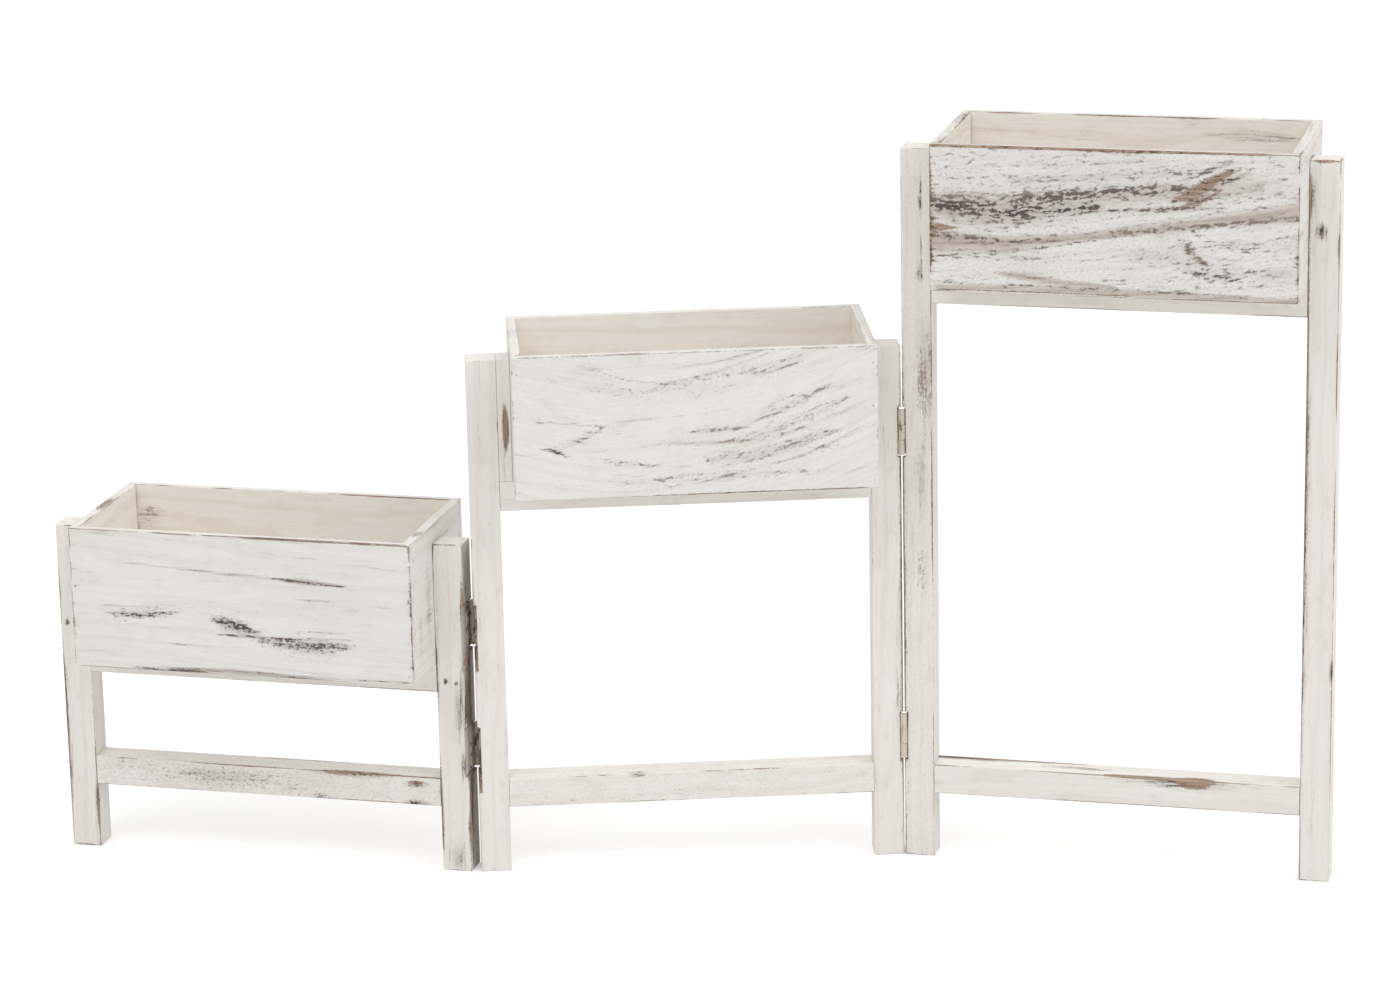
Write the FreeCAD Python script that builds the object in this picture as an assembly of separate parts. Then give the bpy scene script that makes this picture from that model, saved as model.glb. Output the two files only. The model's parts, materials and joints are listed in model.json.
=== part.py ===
import FreeCAD, Part
import math
import os

# A folding plant stand in painted pine. Three upright frames of square stock,
# short, middle and tall, stand in a row and are hinged leg to leg. Each frame
# carries an open planter box between its two legs. Lengths are millimetres.
# Z is up from the floor, and the middle frame stands in the XZ plane with its
# centre at the origin and its back towards -Y. The short frame swings from its
# leg at -X and the tall frame from its leg at +X, so the row opens as a zigzag.

# Frames
frame_width = 355.0
stock = 25.0
edge_easing = 0.8
short_leg_height = 284.0
middle_leg_height = 440.0
tall_leg_height = 604.0
stretcher_height = 56.0

# Planter boxes
box_depth = 146.0
box_height = 119.0
rim_above_leg = 16.0
board_thickness = 7.5
spacer_thickness = 11.0

# Fold: the clear space between two frames folded flat, and in line
folded_gap = 1.0
in_line_gap = 0.5
rest_opening_degrees = 162.0
half_turn_degrees = 180.0

# Butt hinges, let into mortises across the outer side faces of the legs
hinge_length = 38.0
leaf_reach = 11.0
leaf_thickness = 1.3
leaf_corner_radius = 1.0
knuckle_count = 3
knuckle_gap = 0.35
pin_radius_share = 0.5
pin_clearance = 0.05
mortise_depth = 2.5
mortise_end_gap = 2.0
arch_drop = 14.0
lower_hinge_height = 105.0
upper_hinge_below_top = 73.0

# Hinge screws
hinge_screw_radius = 1.3
hinge_screw_head_radius = 2.2
hinge_screw_length = 14.0
hinge_screw_shares = (-0.3, 0.3)

# Screws that hold each box to the legs, driven from inside the box
box_screw_radius = 1.7
box_screw_head_radius = 3.4
box_screw_length = 28.0
box_screw_shares = (0.3, 0.76)

# Square brads through the front and back boards into the edges of the end boards
brad_width = 1.3
brad_length = 25.0
brad_shares = (0.06, 0.3, 0.58, 0.88)

# Stub tenons on the rails, let into the legs
tenon_length = 12.0
tenon_height = 17.0
tenon_thickness = 8.0
tenon_end_space = 1.0

# The screws are drawn with this many flats round
screw_sides = 8

# One overrun for every cut
overrun = 5.0

# Sizes that follow
half_stock = stock / 2
half_depth = box_depth / 2
axis_stand_off = in_line_gap / 2
axis_offset = half_stock + folded_gap / 2
mortise_floor = axis_stand_off + mortise_depth
knuckle_radius = mortise_floor - knuckle_gap
pin_radius = knuckle_radius * pin_radius_share
knuckle_pitch = hinge_length / knuckle_count
leaf_notch = knuckle_radius + knuckle_gap
leaf_screw_reach = (leaf_notch + leaf_reach) / 2
mortise_half_length = hinge_length / 2 + mortise_end_gap
arch_radius = (stock**2 + arch_drop**2) / (2 * arch_drop)

frame_heights = {
    "short": short_leg_height,
    "middle": middle_leg_height,
    "tall": tall_leg_height,
}
short_hinge_heights = {
    "upper": short_leg_height - upper_hinge_below_top,
    "lower": lower_hinge_height,
}
tall_hinge_heights = {
    "upper": middle_leg_height - upper_hinge_below_top,
    "lower": lower_hinge_height,
}

up = FreeCAD.Vector(0, 0, 1)


def point(x, y, z):
    return FreeCAD.Vector(x, y, z)


def block(low, high):
    """A rectangular block from its low corner to its high corner."""
    size = high.sub(low)
    return Part.makeBox(size.x, size.y, size.z, low)


def ease(shape, keep):
    """Chamfer the straight edges that keep() picks by the edge easing."""
    edges = [edge for edge in shape.Edges if keep(edge)]
    return shape.makeChamfer(edge_easing, edges)


def runs_along(edge, name):
    """True for a straight edge parallel to the named axis."""
    ends = [vertex.Point for vertex in edge.Vertexes]
    along = ends[1].sub(ends[0])
    return abs(getattr(along, name)) > along.Length / 2


def lies_at(edge, name, place):
    """True for an edge whose two ends have the given coordinate."""
    return all(math.isclose(getattr(v.Point, name), place) for v in edge.Vertexes)


def turned(shape, base, angle, place):
    """A copy of a shape turned about a vertical line through base, set at place."""
    swing = FreeCAD.Placement(place, FreeCAD.Rotation(up, angle))
    lift = FreeCAD.Placement(base.negative(), FreeCAD.Rotation())
    return shape.transformed(swing.multiply(lift).toMatrix(), True)


def aimed(shape, place, direction):
    """A copy of a shape made along -Z from the origin, driven along direction."""
    rotation = FreeCAD.Rotation(up.negative(), direction)
    return shape.transformed(FreeCAD.Placement(place, rotation).toMatrix(), True)


def flat_face(points):
    """The flat face inside a closed run of points."""
    return Part.Face(Part.makePolygon(points + points[:1]))


def ring(radius, height):
    """The corners of a regular screw section about Z."""
    turns = [2 * math.pi * index / screw_sides for index in range(screw_sides)]
    return [point(radius * math.cos(turn), radius * math.sin(turn), height) for turn in turns]


def screw(radius, head_radius, length):
    """A countersunk screw, flush at the origin and pointing down."""
    cone = head_radius - radius
    point_length = 2 * radius
    rings = [ring(head_radius, 0), ring(radius, -cone), ring(radius, point_length - length)]
    tip = point(0, 0, -length)
    faces = [flat_face(rings[0])]
    for index in range(screw_sides):
        after = (index + 1) % screw_sides
        for above, below in zip(rings, rings[1:]):
            faces.append(flat_face([above[index], above[after], below[after], below[index]]))
        faces.append(flat_face([rings[-1][index], rings[-1][after], tip]))
    solid = Part.Solid(Part.Shell(faces))
    return solid


def brad():
    """A square brad, flush at the origin and pointing down."""
    half = brad_width / 2
    return block(point(-half, -half, -brad_length), point(half, half, 0))


def cut_all(piece, tools):
    """A piece with every tool that reaches it cut away."""
    near = [tool for tool in tools if tool.BoundBox.intersect(piece.BoundBox)]
    return piece.cut(near) if near else piece


# Hinges are made about their pin: the pin's middle is the origin, the legs
# lie towards -X, and the leaf runs towards +Y (side 1) or -Y (side -1).

def hinge_leaf(side, first):
    """A leaf with the knuckles first, first + 2 and so on, counted upwards."""
    half = hinge_length / 2
    plate = block(
        point(-mortise_floor, folded_gap / 2, -half),
        point(-mortise_floor + leaf_thickness, leaf_reach, half),
    )
    corners = [e for e in plate.Edges if runs_along(e, "x") and lies_at(e, "y", leaf_reach)]
    plate = plate.makeFillet(leaf_corner_radius, corners)
    for index in range(knuckle_count):
        low = index * knuckle_pitch - half + (knuckle_gap / 2 if index else 0)
        high = (index + 1) * knuckle_pitch - half
        high -= knuckle_gap / 2 if index < knuckle_count - 1 else 0
        if index % 2 == first:
            knuckle = Part.makeCylinder(knuckle_radius, high - low, point(0, 0, low))
            plate = plate.fuse(knuckle)
        else:
            room_low = low - (knuckle_gap if index else overrun)
            room_high = high + (knuckle_gap if index < knuckle_count - 1 else overrun)
            room = block(
                point(-mortise_floor - overrun, -leaf_notch, room_low),
                point(overrun, leaf_notch, room_high),
            )
            plate = plate.cut(room)
    bore = Part.makeCylinder(
        pin_radius + pin_clearance, hinge_length + 2 * overrun, point(0, 0, -half - overrun)
    )
    plate = plate.removeSplitter().cut([bore] + hinge_screws(1))
    if side < 0:
        plate = plate.mirror(point(0, 0, 0), point(0, 1, 0))
    return plate


def hinge_pin():
    """The pin, flush with the ends of the barrel."""
    return Part.makeCylinder(pin_radius, hinge_length, point(0, 0, -hinge_length / 2))


def hinge_screws(side):
    """The two screws of one leaf, driven into the leg through the plate."""
    driven = screw(hinge_screw_radius, hinge_screw_head_radius, hinge_screw_length)
    face = leaf_thickness - mortise_floor
    places = [
        point(face, side * leaf_screw_reach, share * hinge_length) for share in hinge_screw_shares
    ]
    return [aimed(driven, place, point(-1, 0, 0)) for place in places]


def mortise(side, arched):
    """The recess across one leg, square above, with a square or arched lower end.

    The arch is highest where the two legs meet and drops towards the far arris,
    so that the two legs show one round arch under the hinge when folded.
    """
    top = mortise_half_length
    near = folded_gap / 2
    far = near + stock
    floor = -mortise_floor
    if arched:
        drop = -top - arch_radius
        low_far = point(floor, far, drop + math.sqrt(arch_radius**2 - stock**2))
        low_near = point(floor, near, -top)
        lean = math.asin(stock / arch_radius) / 2
        middle = point(
            floor, near + arch_radius * math.sin(lean), drop + arch_radius * math.cos(lean)
        )
        lower = Part.Arc(low_far, middle, low_near).toShape()
    else:
        low_far = point(floor, far, -top)
        low_near = point(floor, near, -top)
        lower = Part.makeLine(low_far, low_near)
    # The recess runs past both arrises, level at its lower end.
    past_near = point(floor, near - overrun, -top)
    past_far = point(floor, far + overrun, low_far.z)
    rest = Part.makePolygon(
        [
            low_near,
            past_near,
            point(floor, near - overrun, top),
            point(floor, far + overrun, top),
            past_far,
            low_far,
        ]
    )
    face = Part.Face(Part.Wire(lower.Edges + rest.Edges))
    recess = face.extrude(point(mortise_depth + overrun, 0, 0))
    if side < 0:
        recess = recess.mirror(point(0, 0, 0), point(0, 1, 0))
    return recess


class Unit:
    """One frame with its planter box, in its own upright position.

    X runs from the outer face of the left leg, seen from the front, to the
    outer face of the right one, and Y runs from front to back about the legs.
    """

    def __init__(self, name, spacer_side):
        self.name = name
        self.top = frame_heights[name]
        self.rim = self.top + rim_above_leg
        self.base = self.rim - box_height
        self.spacer_side = spacer_side
        # The box stands against one leg, and a spacer fills the room at the other.
        self.box_left = stock
        self.box_right = frame_width - stock
        if spacer_side == "left":
            self.box_left += spacer_thickness
        else:
            self.box_right -= spacer_thickness
        self.wood = {}
        self.metal = {}
        self.tools = []
        self.sockets = []

    def add_frame(self):
        inner_right = frame_width - stock
        legs = {"left_leg": (0, stock), "right_leg": (inner_right, frame_width)}
        for name, (low, high) in legs.items():
            leg = block(point(low, -half_stock, 0), point(high, half_stock, self.top))
            self.wood[name] = ease(leg, lambda e: runs_along(e, "z") or lies_at(e, "z", self.top))
        rails = {"stretcher": stretcher_height, "box_rail": self.base - stock}
        for name, low in rails.items():
            rail = block(
                point(stock, -half_stock, low), point(inner_right, half_stock, low + stock)
            )
            rail = ease(rail, lambda e: runs_along(e, "x"))
            self.wood[name] = rail.fuse(self.tenons(low, tenon_length)).removeSplitter()
            self.sockets += self.tenons(low, tenon_length + tenon_end_space)
        if self.spacer_side == "left":
            low, high = stock, self.box_left
        else:
            low, high = self.box_right, inner_right
        spacer = block(point(low, -half_stock, self.base), point(high, half_stock, self.top))
        self.wood["spacer_block"] = ease(spacer, lambda e: runs_along(e, "z"))

    def add_box(self):
        inner = half_depth - board_thickness
        left, right = self.box_left, self.box_right
        base, rim = self.base, self.rim
        boards = {
            "front_board": (left, right, -half_depth, -inner, base, rim),
            "back_board": (left, right, inner, half_depth, base, rim),
            "left_end_board": (left, left + board_thickness, -inner, inner, base, rim),
            "right_end_board": (right - board_thickness, right, -inner, inner, base, rim),
            "bottom_board": (
                left + board_thickness,
                right - board_thickness,
                -inner,
                inner,
                base,
                base + board_thickness,
            ),
        }
        for name, (x_low, x_high, y_low, y_high, z_low, z_high) in boards.items():
            self.wood[name] = block(point(x_low, y_low, z_low), point(x_high, y_high, z_high))
        for name, face in (("front_board", -half_depth), ("back_board", half_depth)):
            self.wood[name] = ease(self.wood[name], lambda e: lies_at(e, "y", face))

    def tenons(self, rail_low, length):
        """Blocks of a tenon's section at both ends of a rail, reaching into the legs."""
        low = rail_low + (stock - tenon_height) / 2
        half = tenon_thickness / 2
        starts = (stock - length, frame_width - stock)
        return [
            block(point(x, -half, low), point(x + length, half, low + tenon_height))
            for x in starts
        ]

    def add_box_fasteners(self):
        screws = []
        driven = screw(box_screw_radius, box_screw_head_radius, box_screw_length)
        ends = (
            (self.box_left + board_thickness, point(-1, 0, 0)),
            (self.box_right - board_thickness, point(1, 0, 0)),
        )
        for face, direction in ends:
            for share in box_screw_shares:
                height = self.base + share * (self.top - self.base)
                screws.append(aimed(driven, point(face, 0, height), direction))
        brads = []
        half_board = board_thickness / 2
        for face, direction in ((-half_depth, point(0, 1, 0)), (half_depth, point(0, -1, 0))):
            for across in (self.box_left + half_board, self.box_right - half_board):
                for share in brad_shares:
                    place = point(across, face, self.base + share * box_height)
                    brads.append(aimed(brad(), place, direction))
        self.metal["box_screws"] = screws
        self.metal["box_brads"] = brads
        self.tools += screws + brads

    def add_hinge_seats(self, leg, side, heights, square_lower):
        """Mortises and screws for the hinges on one leg, left or right."""
        axis, angle = self.hinge_axis(leg, side)
        screws = self.metal.setdefault("hinge_screws", [])
        for level, height in heights.items():
            place = point(axis.x, axis.y, height)
            arched = not (square_lower and level == "lower")
            recess = turned(mortise(side, arched), point(0, 0, 0), angle, place)
            name = leg + "_leg"
            self.wood[name] = self.wood[name].cut(recess)
            driven = [turned(s, point(0, 0, 0), angle, place) for s in hinge_screws(side)]
            screws += driven
            self.tools += driven

    def hinge_axis(self, leg, side):
        """Where the pin stands beside a leg, and the turn of the hinge there."""
        if leg == "right":
            return point(frame_width + axis_stand_off, -side * axis_offset, 0), 0
        return point(-axis_stand_off, side * axis_offset, 0), half_turn_degrees

    def finish(self):
        """Cut the legs for the tenons and all wood for its fasteners, and name all pieces."""
        pieces = {}
        for name, solid in self.wood.items():
            tools = self.tools + (self.sockets if name.endswith("leg") else [])
            pieces[self.name + "_" + name] = cut_all(solid, tools)
        for name, solids in self.metal.items():
            pieces[self.name + "_" + name] = Part.makeCompound(solids)
        return pieces


def made_unit(name, spacer_side, hinge_seats):
    unit = Unit(name, spacer_side)
    unit.add_frame()
    unit.add_box()
    unit.add_box_fasteners()
    for seat in hinge_seats:
        unit.add_hinge_seats(*seat)
    return unit


# The three units, each with its hinge seats: leg, side, heights, square lower end
short = made_unit("short", "left", [("right", -1, short_hinge_heights, True)])
middle = made_unit(
    "middle",
    "right",
    [("right", 1, short_hinge_heights, False), ("left", 1, tall_hinge_heights, False)],
)
tall = made_unit("tall", "left", [("left", -1, tall_hinge_heights, True)])

# Where each unit stands: its own point, the place of that point, and its turn.
# The middle unit is seen from its back, and the others swing about their pins.
short_pin = point(-frame_width / 2 - axis_stand_off, axis_offset, 0)
tall_pin = short_pin.negative()
open_turn = half_turn_degrees + rest_opening_degrees
stances = {
    "short": (short.hinge_axis("right", -1)[0], open_turn, short_pin),
    "middle": (point(frame_width / 2, 0, 0), half_turn_degrees, point(0, 0, 0)),
    "tall": (tall.hinge_axis("left", -1)[0], open_turn, tall_pin),
}

nodes = {}
for unit in (short, middle, tall):
    base, angle, place = stances[unit.name]
    for name, shape in unit.finish().items():
        nodes[name] = turned(shape, base, angle, place)

# The hinges: one leaf stays with the middle frame and the other swings
hinge_rows = (
    ("short", short_hinge_heights, short_pin, half_turn_degrees),
    ("tall", tall_hinge_heights, tall_pin, 0),
)
origin = point(0, 0, 0)
for name, heights, pin_place, turn in hinge_rows:
    for level, height in heights.items():
        place = point(pin_place.x, pin_place.y, height)
        hinge = name + "_hinge_" + level
        nodes[hinge + "_fixed_leaf"] = turned(hinge_leaf(1, 0), origin, turn, place)
        swung = turn + rest_opening_degrees
        nodes[hinge + "_swing_leaf"] = turned(hinge_leaf(-1, 1), origin, swung, place)
        nodes[hinge + "_pin"] = turned(hinge_pin(), origin, turn, place)

os.makedirs("parts", exist_ok=True)
for name, shape in nodes.items():
    shape.exportStep("parts/" + name + ".step")
    box = shape.BoundBox
    print(name, len(shape.Solids), "solids", round(shape.Volume), "mm3", shape.isValid(),
          [round(v, 1) for v in (box.XMin, box.XMax, box.YMin, box.YMax, box.ZMin, box.ZMax)])
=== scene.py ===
# %% [markdown]
# # A folding planter stand in whitewashed pine
# Three upright frames of square stock stand in a row, hinged leg to leg, and each carries a
# planter box. The CAD model is loaded first and says where every board, leg and hinge goes.
# Then the wood gets worn arrises and rubbed white paint, the hinges and nails get their dull
# metal, and a plain white studio is set up.

# %% Load the frame
import json
import math
from functools import partialmethod

import bpy
import numpy as np
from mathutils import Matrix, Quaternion, Vector


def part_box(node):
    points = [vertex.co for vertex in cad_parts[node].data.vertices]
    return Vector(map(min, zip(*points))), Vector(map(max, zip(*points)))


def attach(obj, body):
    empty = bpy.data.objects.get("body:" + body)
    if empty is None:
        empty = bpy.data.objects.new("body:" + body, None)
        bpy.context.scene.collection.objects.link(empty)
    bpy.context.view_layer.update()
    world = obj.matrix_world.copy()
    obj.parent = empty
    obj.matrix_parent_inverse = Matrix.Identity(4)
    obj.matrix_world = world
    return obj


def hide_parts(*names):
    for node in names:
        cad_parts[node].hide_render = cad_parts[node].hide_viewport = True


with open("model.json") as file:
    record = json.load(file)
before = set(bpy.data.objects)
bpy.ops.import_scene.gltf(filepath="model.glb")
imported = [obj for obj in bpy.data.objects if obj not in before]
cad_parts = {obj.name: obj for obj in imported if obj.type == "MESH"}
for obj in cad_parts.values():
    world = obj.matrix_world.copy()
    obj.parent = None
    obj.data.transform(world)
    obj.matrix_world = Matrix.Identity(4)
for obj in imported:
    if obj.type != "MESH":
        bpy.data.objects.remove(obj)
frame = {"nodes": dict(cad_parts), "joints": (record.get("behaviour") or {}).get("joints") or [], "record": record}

scene = bpy.context.scene
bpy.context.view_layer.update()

# %% [markdown]
# ## Standing the frames in line
# The short and the tall frame are swung 18 degrees about their hinge pins, so their boards
# lie askew to the axes. Each frame is worked on as if the row stood in line, where a board
# is a plain block, and every finished point is turned back about the pin at the end.

# %% Turn points about the pins
turns = {"middle": (np.zeros(2), 0.0)}
for joint in frame["joints"]:
    name = joint["child"].split("_")[0]
    turns[name] = (np.array(joint["pos_m"][:2]), math.radians(joint["range_deg"][1]))


def swung(points, unit, way):
    """Points turned about the frame's hinge pin: the pin, plus a plane turn of the rest.

    way is 1 to bring the frame in line with its neighbour and -1 to put it back.
    """
    pin, turn = turns[unit]
    cosine, sine = math.cos(turn * way), math.sin(turn * way)
    spread = points[:, :2] - pin
    out = points.copy()
    out[:, 0] = pin[0] + cosine * spread[:, 0] - sine * spread[:, 1]
    out[:, 1] = pin[1] + sine * spread[:, 0] + cosine * spread[:, 1]
    return out


def node_span(node):
    """Lowest and highest corner of a CAD node, with its frame swung in line."""
    mesh = frame["nodes"][node].data
    points = np.empty(len(mesh.vertices) * 3)
    mesh.vertices.foreach_get("co", points)
    points = swung(points.reshape(-1, 3), node.split("_")[0], 1)
    return points.min(0), points.max(0)


low, high = node_span("tall_front_board")
print("tall front board, mm:", np.round((high - low) * 1000, 1))

# %% [markdown]
# ## A block of wood as a lattice
# A board could be a cube with a bevel, but then only eight corners carry the wear, and every
# arris is the same. Here the skin of a block is a lattice: whole numbers count the cells
# along each side, and only points on the outside are kept. They are crowded near the
# edges, where the arris rounds over, and each carries its own wear.

# %% The skin of a block
arris_rows = np.array([0, 0.3, 0.7, 1.2, 2.0]) / 1000
step_gap = 0.00004
clear_share = 0.3


def places_along(low, high, step, breaks=()):
    """Places from low to high: rows near both ends, even steps, and a close pair at each
    break in place of the nearest ones."""
    count = max(1, round((high - low - 2 * arris_rows[-1]) / step))
    even = np.linspace(low + arris_rows[-1], high - arris_rows[-1], count + 1)
    places = np.concatenate([low + arris_rows[:-1], even, high - arris_rows[:-1]])
    for place in breaks:
        places = places[abs(places - place) > clear_share * step]
        places = np.append(places, [place - step_gap, place + step_gap])
    return np.sort(places)


def lattice(counts):
    """Whole-number points on the outside of a block of cells, and the quads that join them.

    All points of the block are numbered, those inside are left out, and each of the six
    sheets of numbers gives quads from its neighbours, turned to face outwards.
    """
    cells = np.indices([count + 1 for count in counts])
    outside = np.zeros(cells[0].shape, bool)
    for axis, count in enumerate(counts):
        outside |= (cells[axis] == 0) | (cells[axis] == count)
    number = np.full(outside.shape, -1)
    number[outside] = np.arange(outside.sum())
    quads = []
    for axis in range(3):
        for end in (0, counts[axis]):
            sheet = np.take(number, end, axis=axis)
            ring = [sheet[:-1, :-1], sheet[1:, :-1], sheet[1:, 1:], sheet[:-1, 1:]]
            quad = np.stack(ring, -1).reshape(-1, 4)
            turned_in = (end == 0) != (axis == 1)
            quads.append(quad[:, ::-1] if turned_in else quad)
    return np.argwhere(outside), np.concatenate(quads)


points, quads = lattice((3, 2, 2))
print(len(points), "points and", len(quads), "quads on a small block")

# %% [markdown]
# ## Rounding an arris
# Hand-rubbed edges are not one radius. This rule takes any radius at any point: a point is
# pulled to a smaller block inside, then pushed out again by the radius. Points on the flat
# faces come back to where they were, and those near an edge land on an arc.

# %% Round over the arrises
def rounded(points, low, high, radius):
    """Points of a block's skin with the arrises rounded.

    The core is the point clamped to the block shrunk by the radius, and the result is the
    core plus the radius along the line from the core to the point.
    """
    core = np.clip(points, low + radius, high - radius)
    out = points - core
    return core + out / np.linalg.norm(out, axis=1, keepdims=True) * radius


corner = rounded(np.zeros((1, 3)), np.zeros(3), np.ones(3), 0.5)
print("a rounded corner:", corner.round(2))

# %% [markdown]
# ## The hinge recesses
# Each hinge is let into the side of its leg: a shallow recess across the whole face, square
# above and, on most legs, with an arched run-out below. A boolean would break up the lattice,
# so here the section of the leg is narrower between two rows of points, with a close pair of
# rows at each end for the step, and the rows bend down to follow the arch. Rails step down
# in the same way to their tenons.

# %% Step the section of a leg or rail
recess_depth = 0.0025
recess_end_gap = 0.002
arch_fall = 0.014
arch_fade = 0.034
tenon_length = 0.012
tenon_section = {1: 0.008, 2: 0.017}


def hinge_seats(leg):
    """Hinge recesses of a leg: middle height, half length, outer side, pin side, arched."""
    seats = []
    unit = leg.split("_")[0]
    low, high = node_span(leg)
    for joint in frame["joints"]:
        side = joint["child"].split("_")[0]
        pin = joint["pos_m"]
        gap = max(low[0] - pin[0], pin[0] - high[0])
        if unit not in (side, "middle") or gap > recess_depth:
            continue
        outer = 1 if pin[0] > high[0] else -1
        for level in ("upper", "lower"):
            pin_low, pin_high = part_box(f"{side}_hinge_{level}_pin")
            half = (pin_high.z - pin_low.z) / 2 + recess_end_gap
            arched = unit == "middle" or level == "upper"
            seats.append(((pin_high.z + pin_low.z) / 2, half, outer, np.sign(pin[1]), arched))
    return seats


def seated_section(points, low, high, seats):
    """Section limits and bent heights of a leg: the outer side moves in along each recess."""
    lows, highs = (np.tile(end, (len(points), 1)) for end in (low, high))
    stock = high[1] - low[1]
    radius = (stock**2 + arch_fall**2) / (2 * arch_fall)
    bend = np.zeros(len(points))
    for middle, half, outer, near, arched in seats:
        inside = abs(points[:, 2] - middle) < half
        limit = highs if outer > 0 else lows
        limit[inside, 0] -= outer * recess_depth
        if arched:
            edge = high[1] if near > 0 else low[1]
            reach = np.clip(abs(points[:, 1] - edge), 0, stock)
            fall = radius - np.sqrt(radius**2 - reach**2)
            near_end = 1 - abs(points[:, 2] - (middle - half)) / arch_fade
            bend -= fall * np.clip(near_end, 0, 1)
    return lows, highs, bend


def tenon_breaks(low, high):
    """Where the shoulders of a rail stand."""
    return (low[0] + tenon_length, high[0] - tenon_length)


def tenoned_section(points, low, high):
    """Section limits of a rail: narrower beyond the shoulders, about the same centre."""
    lows, highs = (np.tile(end, (len(points), 1)) for end in (low, high))
    left, right = tenon_breaks(low, high)
    inside = (points[:, 0] < left) | (points[:, 0] > right)
    for axis, size in tenon_section.items():
        middle = (low[axis] + high[axis]) / 2
        lows[inside, axis] = middle - size / 2
        highs[inside, axis] = middle + size / 2
    return lows, highs, np.zeros(len(points))


for leg in ("short_right_leg", "middle_left_leg", "middle_right_leg", "tall_left_leg"):
    print(leg, "recesses at", [round(seat[0], 3) for seat in hinge_seats(leg)])

# %% [markdown]
# ## Rubbed and stained paint
# The white paint was brushed on thin, rubbed through at the arrises down to brown wood, and
# darkened along the grain in streaks. Three numbers at each point say how far the paint is
# worn, how dark the streaks are and how thin the coat is; along the sides where a leg faces
# its hinged neighbour, the first two also carry painted shade of the gap between the legs.
# Wear follows from the distance to the nearest arris and a random field, so it comes in
# patches. The streaks by which each board is known are laid on top, each a soft line through
# a few places.

# %% Random fields and bell curves
def ripples(points, lengths, seed, waves=28):
    """A smooth random field of about -1 to 1: sine waves of random direction and phase, added.

    lengths are the rough distances, along, across and through the grain, between crests.
    """
    draw = np.random.default_rng(seed)
    pace = draw.normal(size=(waves, 3)) * 2 * np.pi / np.array(lengths)
    phase = draw.uniform(0, 2 * np.pi, waves)
    return np.sin(points @ pace.T + phase).sum(1) / math.sqrt(waves)


def bell(distance, width):
    """1 at no distance and about a third at the width."""
    return np.exp(-((distance / width) ** 2))


def rows_for(table, node):
    """The rows of a piece, each with its kind."""
    return [row if isinstance(row[0], str) else ("stain_and_shade", *row) for row in table.get(node, ())]


def streak(across, down, path, fade=0.03):
    """Strength of one streak at each point: a bell curve about a line, fading at both ends."""
    at, height, half = np.array(path).T / 1000
    middle = np.interp(across, at, height)
    width = np.interp(across, at, half)
    ends = np.clip((across - at[0]) / fade + 1, 0, 1) * np.clip((at[-1] - across) / fade + 1, 0, 1)
    return ends * bell(down - middle, width)


def patch(shares, sizes, centre, radii):
    """Strength of one round patch: a bell curve in the distance from its centre."""
    away = (shares - np.array(centre)) * sizes / (np.array(radii) / 1000)
    return np.exp(-(away**2).sum(1))


print("a bell at its width:", round(bell(1, 1), 2))

# %% Streaks on the boards
# A kind, unless it is a plain stain; the strength in per cent; and the path with the board
# facing you, in thousandths: along it, down it, half width.
streaks = {}
streaks["short_front_board"] = [
    (80, (120, 220, 8), (250, 240, 12), (450, 270, 12), (600, 285, 10)),
    (113, (600, 288, 10), (690, 297, 26), (800, 315, 12)),
    ("wear_and_shade", 80, (620, 290, 10), (690, 300, 18), (780, 312, 9)),
    (78, (660, 125, 8), (710, 130, 14), (760, 140, 8)),
    (76, (660, 425, 8), (710, 430, 12), (760, 430, 8)),
    ("fleck", 95, (110, 600, 14), (170, 605, 40), (240, 595, 38), (310, 570, 20)),
    (72, (100, 545, 10), (200, 545, 12), (360, 530, 8)),
    (66, (130, 660, 10), (300, 690, 10)),
    ("fleck", 114, (420, 600, 30), (450, 625, 60), (490, 645, 55), (550, 680, 20)),
    ("wear_and_shade", 55, (430, 620, 20), (460, 630, 30), (500, 650, 20)),
    (101, (440, 710, 10), (490, 715, 18), (560, 720, 12), (820, 700, 12)),
    ("fleck", 90, (550, 740, 30), (660, 765, 70), (740, 770, 80), (810, 750, 30)),
    (90, (600, 720, 10), (720, 745, 14), (800, 730, 10)),
    (88, (620, 665, 8), (700, 660, 12), (800, 655, 8)),
    (68, (300, 800, 8), (450, 800, 12), (520, 800, 8)),
    ("thin", 70, (300, 985, 20), (450, 970, 30), (620, 985, 20)),
    (86, (180, 985, 14), (400, 975, 20), (520, 980, 18), (980, 985, 12)),
    ("wear_and_shade", 95, (520, 6, 10), (750, 6, 14), (990, 6, 14)),
]
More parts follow.
